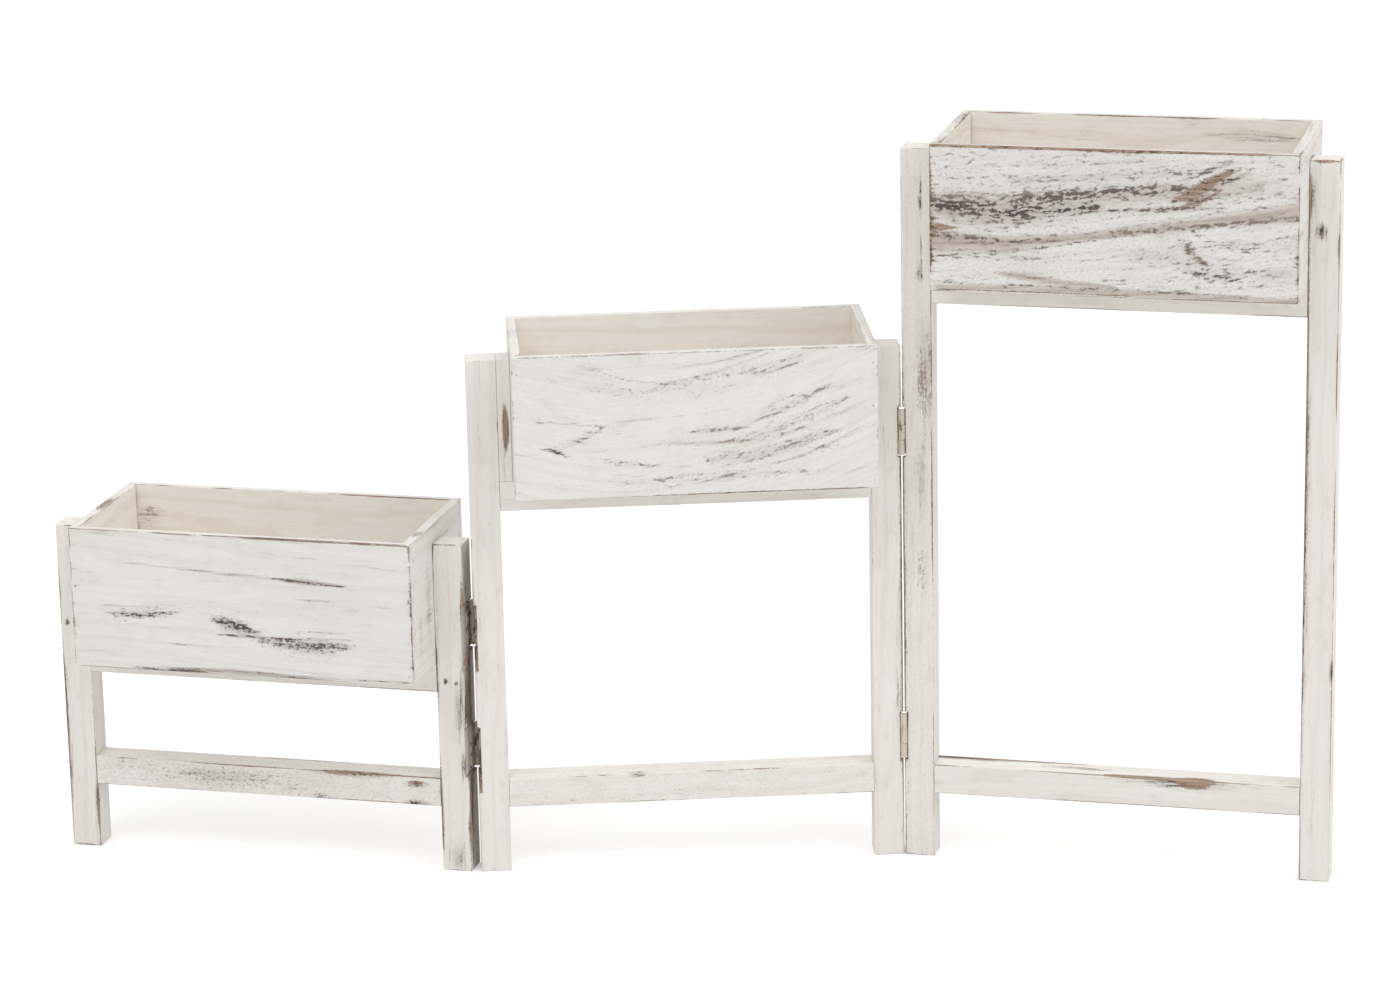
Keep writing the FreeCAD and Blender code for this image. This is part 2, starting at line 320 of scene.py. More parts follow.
streaks["middle_back_board"] = [
    (80, (220, 100, 8), (320, 190, 12), (420, 210, 12), (550, 150, 12), (700, 30, 10)),
    ("dash", 74, (400, 215, 12), (480, 205, 18), (530, 170, 20), (600, 130, 14)),
    ("dash", 53, (200, 220, 20), (320, 280, 40), (460, 240, 40), (600, 160, 40), (780, 60, 30)),
    (70, (440, 120, 10), (550, 80, 12), (680, 10, 10)),
    ("dash", 59, (620, 160, 20), (700, 160, 40), (780, 100, 20)),
    (66, (480, 260, 10), (505, 315, 14), (530, 250, 10)),
    (72, (50, 450, 8), (220, 485, 10), (400, 455, 10), (600, 410, 8)),
    (115, (90, 640, 12), (115, 665, 26), (145, 700, 10)),
    ("dash", 71, (130, 620, 20), (170, 600, 40), (210, 550, 45), (250, 500, 20)),
    ("dash", 83, (440, 635, 14), (500, 640, 24), (600, 635, 20), (660, 630, 10)),
    ("dash", 77, (480, 560, 14), (530, 550, 30), (600, 545, 20), (640, 540, 10)),
    ("wear_and_shade", 40, (560, 660, 20), (600, 660, 30), (660, 650, 20)),
    ("dash", 67, (530, 760, 30), (620, 740, 70), (720, 700, 70), (840, 600, 50)),
    ("dash", 65, (600, 620, 30), (740, 550, 80), (840, 440, 70), (920, 360, 30)),
    ("dash", 63, (660, 500, 20), (740, 430, 40), (800, 350, 40), (860, 260, 20)),
    ("dash", 77, (700, 400, 12), (735, 350, 26), (770, 330, 12)),
    (74, (720, 800, 10), (840, 700, 14), (990, 520, 10)),
    (74, (780, 560, 10), (880, 470, 12), (970, 380, 8)),
    ("wear_and_shade", 92, (380, 996, 10), (600, 994, 12), (970, 994, 10)),
    ("wear_and_shade", 80, (20, 4, 10), (500, 4, 10), (990, 4, 10)),
    ("dash", 86, (830, 610, 18), (860, 595, 34), (890, 580, 18)),
    ("dash", 79, (830, 700, 14), (855, 690, 28), (880, 680, 14)),
    ("dash", 74, (250, 745, 14), (310, 760, 24), (380, 790, 14)),
    (74, (240, 720, 10), (340, 780, 12), (480, 800, 10)),
    (70, (250, 830, 10), (400, 870, 12), (620, 840, 10), (900, 700, 8)),
    ("dash", 59, (300, 900, 30), (460, 900, 50), (620, 870, 40), (800, 860, 30)),
]
streaks["tall_front_board"] = [
    (98, (0, 400, 100), (80, 420, 150), (220, 440, 140), (340, 420, 110), (460, 380, 60)),
    (90, (200, 360, 60), (340, 330, 90), (500, 290, 100), (640, 260, 90), (740, 250, 50)),
    (72, (220, 220, 30), (450, 190, 60), (620, 150, 70), (840, 120, 40)),
    (96, (360, 430, 18), (520, 405, 26), (660, 385, 30), (800, 370, 15)),
    (66, (100, 140, 20), (300, 110, 40), (600, 70, 30), (950, 50, 10)),
    ("wear_and_shade", 104, (680, 310, 40), (720, 270, 100), (750, 220, 85), (785, 170, 50), (820, 120, 30)),
    ("wear_and_shade", 84, (690, 360, 30), (740, 330, 60), (790, 250, 30)),
    (102, (740, 250, 20), (770, 190, 40), (810, 130, 20)),
    (98, (660, 330, 30), (720, 310, 60), (800, 190, 50), (860, 130, 20)),
    (90, (700, 180, 20), (760, 120, 35), (820, 60, 20)),
    (70, (760, 300, 40), (860, 240, 60), (960, 160, 30)),
    ("thin", 90, (0, 660, 100), (200, 660, 70), (400, 600, 40),
     (600, 530, 35), (800, 450, 50), (1000, 380, 80)),
    ("thin", 55, (0, 450, 200), (300, 420, 160), (600, 300, 130), (900, 200, 100)),
    (92, (0, 600, 50), (100, 635, 45), (220, 640, 35), (340, 620, 20)),
    ("wear_and_shade", 105, (0, 550, 50), (30, 560, 40), (70, 560, 14)),
    (90, (0, 760, 14), (120, 735, 16), (280, 690, 16), (450, 610, 14), (620, 540, 10)),
    (80, (200, 645, 12), (380, 590, 16), (560, 510, 16), (750, 420, 14), (1000, 320, 12)),
    (78, (500, 560, 20), (660, 520, 30), (820, 470, 30), (1000, 430, 40)),
    (84, (680, 600, 60), (710, 680, 110), (735, 740, 120), (770, 800, 70)),
    ("wear_and_shade", 82, (700, 660, 50), (725, 700, 80), (750, 750, 50)),
    (86, (700, 800, 40), (760, 830, 60), (840, 850, 30)),
    (88, (700, 500, 20), (715, 530, 40), (730, 560, 20)),
    (70, (560, 720, 30), (660, 720, 70), (800, 780, 80), (980, 800, 60)),
    (66, (740, 600, 30), (850, 640, 80), (980, 620, 70)),
    (66, (380, 760, 12), (480, 740, 20), (600, 660, 12)),
    ("thin", 85, (200, 865, 20), (260, 880, 40), (360, 910, 30), (500, 930, 20)),
    ("wear_and_shade", 74, (210, 865, 12), (270, 880, 25), (360, 905, 12)),
    ("thin", 80, (20, 970, 30), (400, 965, 40), (800, 975, 35), (1000, 985, 30)),
    (88, (30, 945, 10), (300, 940, 14), (650, 950, 14), (900, 965, 10)),
    ("wear_and_shade", 90, (40, 985, 14), (300, 980, 14), (550, 985, 10)),
    ("wear_and_shade", 125, (0, 4, 14), (300, 4, 16), (600, 6, 14), (900, 4, 10)),
]
streaks["middle_front_board"] = [
    (92, (330, 370, 12), (550, 385, 22), (720, 370, 24), (850, 360, 10)),
    (88, (680, 760, 12), (770, 750, 22), (860, 740, 10)),
    (62, (80, 600, 8), (300, 620, 10), (500, 600, 8)),
    (66, (450, 270, 10), (620, 260, 14), (780, 280, 8)),
]
streaks["short_back_board"] = [
    (90, (200, 300, 12), (350, 320, 22), (520, 310, 10)),
    (80, (550, 700, 10), (700, 720, 20), (900, 710, 10)),
    (66, (50, 620, 10), (250, 600, 14), (400, 610, 8)),
]
streaks["tall_back_board"] = [
    (95, (100, 520, 14), (300, 550, 30), (550, 530, 20), (700, 500, 10)),
    (80, (500, 250, 12), (700, 220, 30), (920, 240, 12)),
    ("thin", 70, (0, 800, 60), (500, 760, 50), (1000, 700, 40)),
]
print(sum(map(len, streaks.values())), "streaks on", len(streaks), "boards")

# %% [markdown]
# ## Patches
# Legs and rails show knots, chips and long rubbed strips instead of streaks, and the boards
# have dark or rubbed stretches along their arrises. On the sides where a leg faces its hinged
# neighbour, some long dark strips are painted shade of the gap between the legs. Three
# smaller tables say how the grain climbs over a board, what its marks look like and how far
# some arrises are rubbed.

# %% Patches
# A kind, unless it is a plain stain; the strength in per cent; the centre in shares of the
# piece, left to right, front to back and up; and the radii in mm in the same directions.
patches = {}
patches["short_front_board"] = [
    (100, (1, 0, 0.6), (2.2, 4, 42)),
    (90, (1, 0, 0.12), (2.2, 4, 20)),
    ("wear_and_shade", 100, (1, 0, 0.97), (3, 4, 7)),
    (120, (0.992, 0, 0.6), (1.8, 4, 3)),
    (115, (0.6, 0, 1), (56, 3, 2.2)),
    ("wear_and_shade", 105, (0.86, 0, 1), (26, 3, 2.2)),
    (100, (0, 0, 0.35), (2.4, 4, 24)),
    (125, (0.28, 0, 0), (48, 4, 2.6)),
]
patches["tall_front_board"] = [
    ("wear_and_shade", 125, (0, 0, 0.72), (2.6, 4, 34)),
    (100, (0, 0, 0.55), (7, 4, 44)),
    ("wear_and_shade", 135, (0, 0, 0.42), (3.4, 4, 20)),
    ("wear_and_shade", 125, (0, 0, 0.2), (3, 4, 10)),
    (135, (0, 0, 0.24), (3.4, 4, 14)),
    (90, (1, 0, 0.35), (5, 4, 30)),
]
patches["short_back_board"] = [
    (62, (0.065, 0, 0.8), (18, 4, 14)),
    ("wear_and_shade", 78, (0.065, 0, 0.82), (10, 4, 8)),
    (75, (0.02, 0, 0.62), (6, 4, 26)),
]
patches["tall_back_board"] = [
    (76, (0.84, 0, 0.88), (50, 4, 7)),
    (72, (0.96, 0, 0.62), (18, 4, 22)),
    ("wear_and_shade", 70, (0.6, 0, 1), (60, 4, 2)),
]
patches["short_right_leg"] = [
    (130, (0.32, 0, 0.585), (2.6, 5, 3.6)),
    (130, (0.66, 0, 0.58), (2.2, 5, 3)),
    (85, (0.75, 0, 0.5), (6, 5, 30)),
    (100, (0.85, 0, 0.33), (3, 5, 16)),
    (86, (0.5, 0, 0.04), (11, 5, 16)),
    (125, (0, 0, 0.17), (2.6, 5, 46)),
    ("wear_and_shade", 105, (0, 0, 0.22), (3.2, 4, 60)),
    (100, (0, 0, 0.62), (2.4, 5, 50)),
    # The dark brown on the side that faces the middle frame is partly rubbed wood and partly painted shade of the
    # gap between the short and middle legs, strongest on its front half.
    ("wear_and_shade", 110, (1, 0, 0.8), (4, 5, 40)),
    ("wear_and_shade", 100, (1, 0, 0.12), (4, 5, 34)),
    (115, (1, 0, 0.5), (3.2, 6, 90)),
    ("wear_and_shade", 95, (1, 0.2, 0.45), (1.2, 11, 160)),
    (115, (1, 0.3, 0.45), (1.5, 12, 200)),
    ("wear_and_shade", 90, (0.5, 0, 0), (14, 5, 2)),
    ("wear_and_shade", 90, (0.6, 0, 1), (14, 5, 2)),
]
patches["short_left_leg"] = [
    ("wear_and_shade", 125, (0, 0, 0.42), (2.6, 4, 100)),
    (135, (0, 0, 0.36), (2.8, 4, 90)),
    (120, (0, 0, 0.8), (2.4, 4, 34)),
    (120, (1, 0, 0.15), (3, 5, 20)),
    ("wear_and_shade", 105, (1, 0, 0.1), (3, 4, 26)),
    ("wear_and_shade", 100, (0.5, 0, 0), (14, 5, 2.4)),
    (170, (0.25, 0, 0.7), (2.4, 4, 2.6)),
]
patches["middle_right_leg"] = [
    (90, (0, 0, 0.5), (2.2, 5, 50)),
    (80, (1, 0.2, 0.28), (4, 8, 34)),
    ("wear_and_shade", 90, (1, 0.2, 0.3), (4, 8, 20)),
]
patches["middle_left_leg"] = [
    (80, (0.9, 0, 0.3), (4, 5, 40)),
    # Painted shade: the long dark lines along the front arris of the side that faces the tall frame stand for the
    # narrow seam between the middle and tall legs.
    ("wear_and_shade", 115, (1, 0, 0.4), (2, 6, 250)),
    (130, (1, 0, 0.5), (2.2, 6, 270)),
]
patches["tall_left_leg"] = [
    (120, (0.66, 0, 0.93), (1.8, 5, 26)),
    (130, (0.64, 0, 0.83), (2.4, 5, 12)),
    ("wear_and_shade", 100, (0.68, 0, 0.86), (1.6, 5, 30)),
    (72, (1, 0, 0.66), (9, 6, 50)),
    ("wear_and_shade", 90, (1, 0, 0.7), (2, 5, 60)),
    (70, (0.8, 0, 0.72), (9, 5, 50)),
    ("wear_and_shade", 76, (0.7, 0, 0.68), (10, 5, 70)),
    (62, (0.6, 0, 0.55), (9, 5, 40)),
    ("wear_and_shade", 70, (0.6, 0, 0.42), (9, 5, 70)),
    # Partly a rubbed strip, partly painted shade: the long dark lines along the front arris of the side that faces
    # the middle frame darken the seam between the tall and middle legs.
    ("wear_and_shade", 120, (0, 0, 0.36), (2, 6, 240)),
    (135, (0, 0, 0.4), (2.4, 6, 250)),
    ("wear_and_shade", 95, (1, 0, 0.5), (1.8, 4, 140)),
]
patches["tall_right_leg"] = [
    (135, (0.42, 0, 0.905), (5, 5, 9)),
    ("wear_and_shade", 95, (0.42, 0, 0.9), (3.4, 5, 6)),
    ("wear_and_shade", 120, (0.5, 0, 1), (14, 5, 3)),
    ("wear_and_shade", 115, (0, 0, 0.95), (3, 5, 34)),
    (90, (0.1, 0, 0.95), (4, 6, 30)),
    ("wear_and_shade", 130, (0, 0, 0.66), (2.6, 5, 190)),
    (140, (0, 0, 0.52), (3, 5, 230)),
    ("wear_and_shade", 110, (1, 0, 0.88), (2.4, 5, 24)),
    (90, (1, 0, 0.9), (3, 5, 20)),
    (120, (1, 0, 0.3), (3, 5, 12)),
]
patches["tall_stretcher"] = [
    ("wear_and_shade", 125, (0.57, 0, 1), (50, 6, 2.6)),
    ("wear_and_shade", 150, (0.7, 0, 0.95), (18, 9, 8)),
    (105, (0.66, 0, 0.88), (50, 6, 6)),
    ("wear_and_shade", 125, (0.24, 0.93, 1), (84, 3.2, 3)),
    (150, (0.1, 0.9, 1), (50, 5, 4)),
    ("wear_and_shade", 80, (0.4, 0.5, 1), (80, 9, 2)),
]
patches["middle_stretcher"] = [(100, (0.36, 0, 0.96), (9, 8, 3))]
patches["short_stretcher"] = [
    (72, (0.38, 0, 0.55), (100, 5, 13)),
    (62, (0.56, 0, 0.3), (30, 5, 8)),
    (90, (0.64, 0, 0.06), (12, 5, 4)),
    (110, (0.9, 0, 0.72), (13, 5, 4)),
    ("wear_and_shade", 130, (0.9, 0, 0.76), (10, 5, 3)),
    (115, (0.9, 0, 0.05), (16, 5, 4)),
    ("wear_and_shade", 125, (0.7, 0, 1), (20, 5, 3)),
    (110, (0.74, 0, 1), (44, 6, 4)),
    ("wear_and_shade", 95, (0.55, 1, 1), (90, 5, 3)),
    (80, (0.97, 0, 0.5), (6, 5, 8)),
]
patches["middle_spacer_block"] = [
    ("wear_and_shade", 160, (0.6, 0, 0.455), (3, 6, 27)),
    (70, (0.6, 0, 0.455), (3.6, 6, 32)),
]
patches["tall_spacer_block"] = [
    ("wear_and_shade", 130, (0.3, 0, 0.45), (3, 6, 20)),
    (120, (0, 0, 0.5), (3, 6, 60)),
]
patches["short_left_end_board"] = [("wear_and_shade", 90, (0.5, 0.5, 1), (9, 40, 3))]
patches["short_right_end_board"] = [
    (72, (1, 0.3, 0.5), (4, 10, 50)),
    (66, (1, 0.12, 0.3), (4, 5, 30)),
    ("wear_and_shade", 80, (0.5, 0.2, 1), (9, 20, 2)),
]
print(sum(map(len, patches.values())), "patches on", len(patches), "pieces")

# %% Grain, marks and rubbed arrises
# Rows of share along the board and rise as a share of its height.
grain_climb = {
    "tall_front_board": ((0, 0), (0.4, 0.07), (1, 0.27)),
    "tall_back_board": ((0, 0), (1, 0.1)),
    "middle_back_board": ((0, 0.04), (0.35, -0.08), (0.65, 0.03), (1, 0.32)),
    "short_front_board": ((0, 0), (1, -0.09)),
}
# 0 is long thin lines, 1 short wavy dashes, 2 round speckles.
mark_kind = {
    "tall_front_board": 1.0,
    "tall_left_leg": 0.5,
    "tall_right_leg": 0.25,
    "tall_left_end_board": 0.8,
    "short_stretcher": 1.8,
    "middle_stretcher": 0.6,
    "middle_back_board": 0.35,
    "short_front_board": 0.25,
}
local_marks = {"dash": 1.0, "fleck": 1.55}
piece_wear = {
    "short_right_leg": 0.4,
    "middle_right_leg": 0.22,
    "middle_spacer_block": 0.1,
    "middle_left_leg": 0.45,
    "middle_stretcher": 0.35,
    "middle_box_rail": 0.4,
    "middle_back_board": 0.5,
    "short_right_end_board": 0.35,
    "tall_right_end_board": 0.5,
    "short_spacer_block": 0.4,
    "tall_spacer_block": 0.6,
}
print(len(grain_climb), "boards with climbing grain,", len(mark_kind), "with other marks")

# %% [markdown]
# ## Making the wooden pieces
# Every wooden node of the CAD model is made again as a lattice, in its own span, and stands
# for that node. Three values go with every point for the material: its place in the grain,
# in metres; the wear, stain and thinness of the paint; and the kind of marks.

# %% Which side of a board is seen
boards_along = ("front_board", "back_board")
inner_share = 0.9


def face_shares(name, unit, shares):
    """Shares along, down and into a front or back board, seen facing its outer side."""
    if (name == "front_board") != (unit == "middle"):
        return shares[:, 0], 1 - shares[:, 2], shares[:, 1]
    return 1 - shares[:, 0], 1 - shares[:, 2], 1 - shares[:, 1]


def inside_box(name, unit, shares):
    """True on the faces that look into the planter box."""
    if name in boards_along:
        return face_shares(name, unit, shares)[2] > inner_share
    if name.endswith("end_board"):
        image_left = name.startswith("left") != (unit == "middle")
        return (shares[:, 0] if image_left else 1 - shares[:, 0]) > inner_share
    return np.full(len(shares), name == "bottom_board")


print("a bottom board is inside:", inside_box("bottom_board", "tall", np.zeros((1, 3)))[0])


# %% [markdown]
# Every piece first gets its wear and stain from the distance to its arrises and from three
# random fields. Streaks and patches are laid over them, and the stronger one counts.

# %% Wear, stain and thin paint
wear_level = {"short": 0.88, "middle": 0.66, "tall": 0.94}
stain_level = {"short": 0.16, "middle": 0.22, "tall": 0.36}
stock_stain = {"short": 0.04, "middle": 0.14, "tall": 0.08}
inside_stain = {"short": -0.10, "middle": -0.02, "tall": 0.26}
slow_waves, quick_waves, stain_waves = (0.16, 0.03, 0.03), (0.03, 0.007, 0.007), (0.10, 0.014, 0.014)
slow_wear, quick_wear, most_wear = 0.28, 0.14, 1.15
wear_width, width_spread, dirt_width = 0.0011, 0.5, 0.003
patchy_level, stain_spread, dirt_stain = 0.4, 0.13, 0.34
least_radius, added_radius = 0.0007, 0.0006
sharp_share, worn_share = 0.45, 0.55
outer_share = 0.3
grain_shift = 4


def first_finish(node, grain, to_arris, inside, seed):
    """Wear, stain and thinness before streaks and patches, and the radius of the arrises.

    Wear and dirt are bell curves in the distance to the nearest arris, times a slow field.
    Stain elsewhere is a level plus a field drawn out along the grain. Inside a box thinness
    is -1.
    """
    unit, name = node.split("_", 1)
    slow = ripples(grain, slow_waves, seed)
    quick = ripples(grain, quick_waves, seed + 1)
    field = ripples(grain, stain_waves, seed + 2)
    level = piece_wear.get(node, wear_level[unit])
    wear_and_shade = bell(to_arris, wear_width * (1 + width_spread * np.clip(slow, -1, 1)))
    wear_and_shade = wear_and_shade * np.clip(level + slow_wear * slow + quick_wear * quick, 0, most_wear)
    patchy = np.clip(patchy_level + slow, 0, 1)
    ground = stain_level[unit] if name.endswith("board") else stock_stain[unit]
    stain_and_shade = np.where(inside, inside_stain[unit], ground + stain_spread * field)
    stain_and_shade = stain_and_shade + dirt_stain * (bell(to_arris, dirt_width) * patchy * level)
    layers = {"wear_and_shade": wear_and_shade, "stain_and_shade": stain_and_shade, "thin": np.where(inside, -1.0, 0.0)}
    return layers, (least_radius + added_radius * patchy) * (sharp_share + worn_share * level)


def lay_streaks(node, layers, kind, across, down, outside):
    """Lay the board's streaks over its outer side and return the kind of marks there."""
    for layer, strength, *path in rows_for(streaks, node):
        mark = strength / 100 * streak(across, down, path)
        if layer in local_marks:
            kind = np.maximum(kind, local_marks[layer] * np.clip(3 * mark, 0, 1) * outside)
            layer = "stain_and_shade"
        layers[layer] = np.where(outside, np.maximum(layers[layer], mark), layers[layer])
    return kind


def finish_values(node, points, lows, highs, along, seed):
    """Grain place, finish (wear, stain, some painted shade, thinness), mark kind, arris radius.

    The nearest arris is as far as the second nearest of the block's six faces. Grain that
    climbs follows a smooth curve through its rises.
    """
    unit, name = node.split("_", 1)
    low, high = lows.min(0), highs.max(0)
    sizes = high - low
    shares = (points - low) / sizes
    order = [along] + [axis for axis in range(3) if axis != along]
    grain = (points - (low + high) / 2)[:, order]
    to_arris = np.sort(np.minimum(points - lows, highs - points), axis=1)[:, 1]
    inside = inside_box(name, unit, shares)
    layers, radius = first_finish(node, grain, to_arris, inside, seed)
    kind = np.full(len(points), mark_kind.get(node, 0.0))
    if name in boards_along:
        across, down, into = face_shares(name, unit, shares)
        outside = into < outer_share
        if node in grain_climb:
            at, rise = np.array(grain_climb[node]).T
            curve = np.polyfit(at, rise, len(at) - 1)
            grain[:, 2] -= np.polyval(curve, across) * sizes[2] * outside
        kind = lay_streaks(node, layers, kind, across, down, outside)
    for layer, strength, middle, radii in rows_for(patches, node):
        mark = strength / 100 * patch(shares, sizes, middle, radii)
        layers[layer] = np.maximum(layers[layer], mark)
    grain[:, 0] += np.random.default_rng(seed).uniform(-grain_shift, grain_shift)
    return grain, np.stack(list(layers.values()), 1), kind, radius[:, None]


print("wear of the arrises:", wear_level)


# %% [markdown]
# A hinge recess was cut and rubbed by hand, so a brown line runs round it, and the coat
# within it is thin and dirty. Along the arris beside the pin, within the recess, the dark
# line is partly rubbed wood and partly painted shade of the crevice by the knuckle.

# %% The finish of a hinge recess
seat_line, seat_dirt, seat_rim, seat_reach = 0.0014, 0.003, 0.0022, 0.0035


def seat_finish(finish, points, bend, low, high, seats):
    """The finish with bell curves about the ends and the pin side of each recess.

    The distance to an end is taken before the rows were bent, so the line follows the arch.
    """
    for middle, half, outer, near, _ in seats:
        past = abs(points[:, 2] - bend - middle) - half
        face = high[0] - points[:, 0] if outer > 0 else points[:, 0] - low[0]
        rim = high[1] - points[:, 1] if near > 0 else points[:, 1] - low[1]
        close = np.exp(-((face / seat_reach) ** 4))
        within = (past < 0) * close
        # Partly rubbed arris, partly painted shade of the crevice by the knuckle: dark along the pin-side arris
        # within the recess.
        pin_arris_wear_and_shade = within * bell(rim, seat_rim)
        wear_and_shade = np.maximum(bell(past, seat_line) * close, 1.1 * pin_arris_wear_and_shade)
        stain_and_shade = np.maximum(0.9 * bell(past, seat_dirt) * close, 1.2 * pin_arris_wear_and_shade)
        stain_and_shade = np.maximum(stain_and_shade, 0.5 * within)
        finish = np.maximum(finish, np.stack([wear_and_shade, stain_and_shade, 0.6 * within], 1))
    return finish


print("line round a recess, mm:", seat_line * 1000)


# %% [markdown]
# One piece is rows of places, a lattice, its section, the finish and last the rounding. It
# is a hair smaller than its solid.

# %% One wooden piece
paint_inset = 0.00008
smooth_turn = math.radians(38)


def placed(name, data):
    """A new object in the scene for a mesh, a lamp or a camera."""
    thing = bpy.data.objects.new(name, data)
    scene.collection.objects.link(thing)
    return thing


def wooden_skin(node, step, seed):
    """Points, quads and point values of a wooden piece, in the place of its CAD node."""
    unit, name = node.split("_", 1)
    low, high = node_span(node)
    low, high = low + paint_inset, high - paint_inset
    along = int(np.argmax(high - low))
    seats = hinge_seats(node) if name.endswith("_leg") else []
    tenoned = name in ("stretcher", "box_rail")
    breaks = [(), (), ()]
    if seats:
        breaks[2] = [middle + side * half for middle, half, *_ in seats for side in (-1, 1)]
    if tenoned:
        breaks[0] = tenon_breaks(low, high)
    places = [places_along(*ends) for ends in zip(low, high, step, breaks)]
    cells, quads = lattice([len(place) - 1 for place in places])
    points = np.stack([place[cell] for place, cell in zip(places, cells.T)], 1)
    if tenoned:
        lows, highs, bend = tenoned_section(points, low, high)
    else:
        lows, highs, bend = seated_section(points, low, high, seats)
    points = lows + (points - low) / (high - low) * (highs - lows)
    points[:, 2] += bend
    grain, finish, kind, radius = finish_values(node, points, lows, highs, along, seed)
    finish = seat_finish(finish, points, bend, low, high, seats)
    points = swung(rounded(points, lows, highs, radius), unit, -1)
    return points, quads, {"grain": grain, "finish": finish, "mark_kind": kind}


def wooden_piece(node, step, seed):
    """One wooden piece, which rides on its frame and replaces its CAD node."""
    points, quads, carried = wooden_skin(node, step, seed)
    mesh = bpy.data.meshes.new(node + "_wood")
    mesh.from_pydata(points.tolist(), [], quads.tolist())
    for value, numbers in carried.items():
        kind, key = ("FLOAT", "value") if numbers.ndim == 1 else ("FLOAT_VECTOR", "vector")
        mesh.attributes.new(value, kind, "POINT").data.foreach_set(key, numbers.ravel())
    mesh.shade_smooth()
    mesh.set_sharp_from_angle(angle=smooth_turn)
    piece = placed(node + "_wood", mesh)
    unit, name = node.split("_", 1)
    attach(piece, unit + "_frame")
    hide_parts(node)
    return piece


points, quads, carried = wooden_skin("tall_spacer_block", (0.003,) * 3, 1)
print("a spacer block:", len(points), "points with", list(carried))


# %% [markdown]
# Boards that carry fine streaks get a fine lattice and hidden or plain pieces a coarse one.
# Legs and stretchers lie between.

# %% Make all wooden pieces
fine, medium, usual, coarse = 0.0017, 0.0025, 0.003, 0.004
steps = {
    "front_board": (fine, usual, fine),
    "back_board": (medium, usual, medium),
    "left_end_board": (usual, coarse, coarse),
    "right_end_board": (usual, coarse, coarse),
    "bottom_board": (coarse,) * 3,
    "left_leg": (usual,) * 3,
    "right_leg": (usual,) * 3,
    "stretcher": (usual,) * 3,
    "box_rail": (coarse,) * 3,
    "spacer_block": (usual,) * 3,
}
first_seed, seed_step = 11, 7
wood_pieces = {}
for unit in ("short", "middle", "tall"):
    for name, step in steps.items():
        node = f"{unit}_{name}"
        if node == "middle_back_board":
            step = steps["front_board"]
        wood_pieces[node] = wooden_piece(node, step, len(wood_pieces) * seed_step + first_seed)
faces = sum(len(piece.data.polygons) for piece in wood_pieces.values())
print(len(wood_pieces), "wooden pieces with", faces, "quads")

# %% [markdown]
# ## Wiring a material
# A material is a chain of nodes. A few short calls keep the wiring readable: a noise at a
# scale given along, across and through the grain, a soft threshold, and a blend of two
# colours. Colours are written as they look on a screen, 0 to 255, and turned to linear ones.

# %% Short calls for nodes
def seen(red, green, blue):
    """Linear colour of a screen colour: the sRGB curve undone."""
    colour = []
    for part in (red / 255, green / 255, blue / 255):
        colour.append(part / 12.92 if part <= 0.04045 else ((part + 0.055) / 1.055) ** 2.4)
    return (*colour, 1)


class Recipe:
    """The nodes of a material, or of the world, in the making."""

    def __init__(self, owner):
        self.owner = owner
        owner.use_nodes = True
        self.tree = owner.node_tree
        self.tree.nodes.clear()

    def put(self, socket, value):
        if isinstance(value, bpy.types.NodeSocket):
            self.tree.links.new(value, socket)
        else:
            socket.default_value = value

    def node(self, kind, **inputs):
        made = self.tree.nodes.new("ShaderNode" + kind)
        for name, value in inputs.items():
            self.put(made.inputs[name.replace("_", " ")], value)
        return made

    def named(self, attribute, output="Vector"):
        made = self.node("Attribute")
        made.attribute_name = attribute
        return made.outputs[output]

    def operated(self, kind, operation, values):
        made = self.node(kind)
        made.operation = operation
        for socket, value in zip(made.inputs, values):
            self.put(socket, value)
        return made

    def maths(self, operation, *values):
        return self.operated("Math", operation, values).outputs[0]

    def vector(self, operation, *values):
        return self.operated("VectorMath", operation, values).outputs["Vector"]

    times = partialmethod(maths, "MULTIPLY")
    plus = partialmethod(maths, "ADD")
    minus = partialmethod(maths, "SUBTRACT")

    def lerp(self, share, first, second):
        """first where share is 0, second where it is 1."""
        return self.plus(first, self.times(share, self.minus(second, first)))

    def noise(self, vector, scale, detail=3, roughness=0.55, distortion=0):
        place = self.vector("MULTIPLY", vector, scale)
        settings = {"Detail": detail, "Roughness": roughness, "Distortion": distortion}
        return self.node("TexNoise", Vector=place, Scale=1, **settings).outputs["Fac"]

    def fade(self, value, low, high):
        """0 below low, 1 above high and a smooth step between."""
        made = self.node("MapRange", Value=value, From_Min=low, From_Max=high)
        made.interpolation_type = "SMOOTHSTEP"
        return made.outputs["Result"]

    def blend(self, share, first, second):
        made = self.node("Mix")
        made.data_type = "RGBA"
        for socket, value in zip((0, 6, 7), (share, first, second)):
            self.put(made.inputs[socket], value)
        return made.outputs[2]

    def tint(self, colour, tone, value, low, high, strength):
        """A tone laid over a colour where the value fades in from low to high."""
        return self.blend(self.times(self.fade(value, low, high), strength), colour, tone)

    def surface(self, colour, roughness, height, depth=0.0003, metallic=0.0):
        shader = self.node("BsdfPrincipled", Base_Color=colour, Roughness=roughness, Metallic=metallic)
        shader.inputs["Specular IOR Level"].default_value = 0.3
        bump = self.node("Bump", Height=height, Strength=0.6, Distance=depth)
        self.put(shader.inputs["Normal"], bump.outputs["Normal"])
        self.node("OutputMaterial", Surface=shader.outputs["BSDF"])
        return self.owner


print("screen 230, 226, 218 is", [round(part, 3) for part in seen(230, 226, 218)])

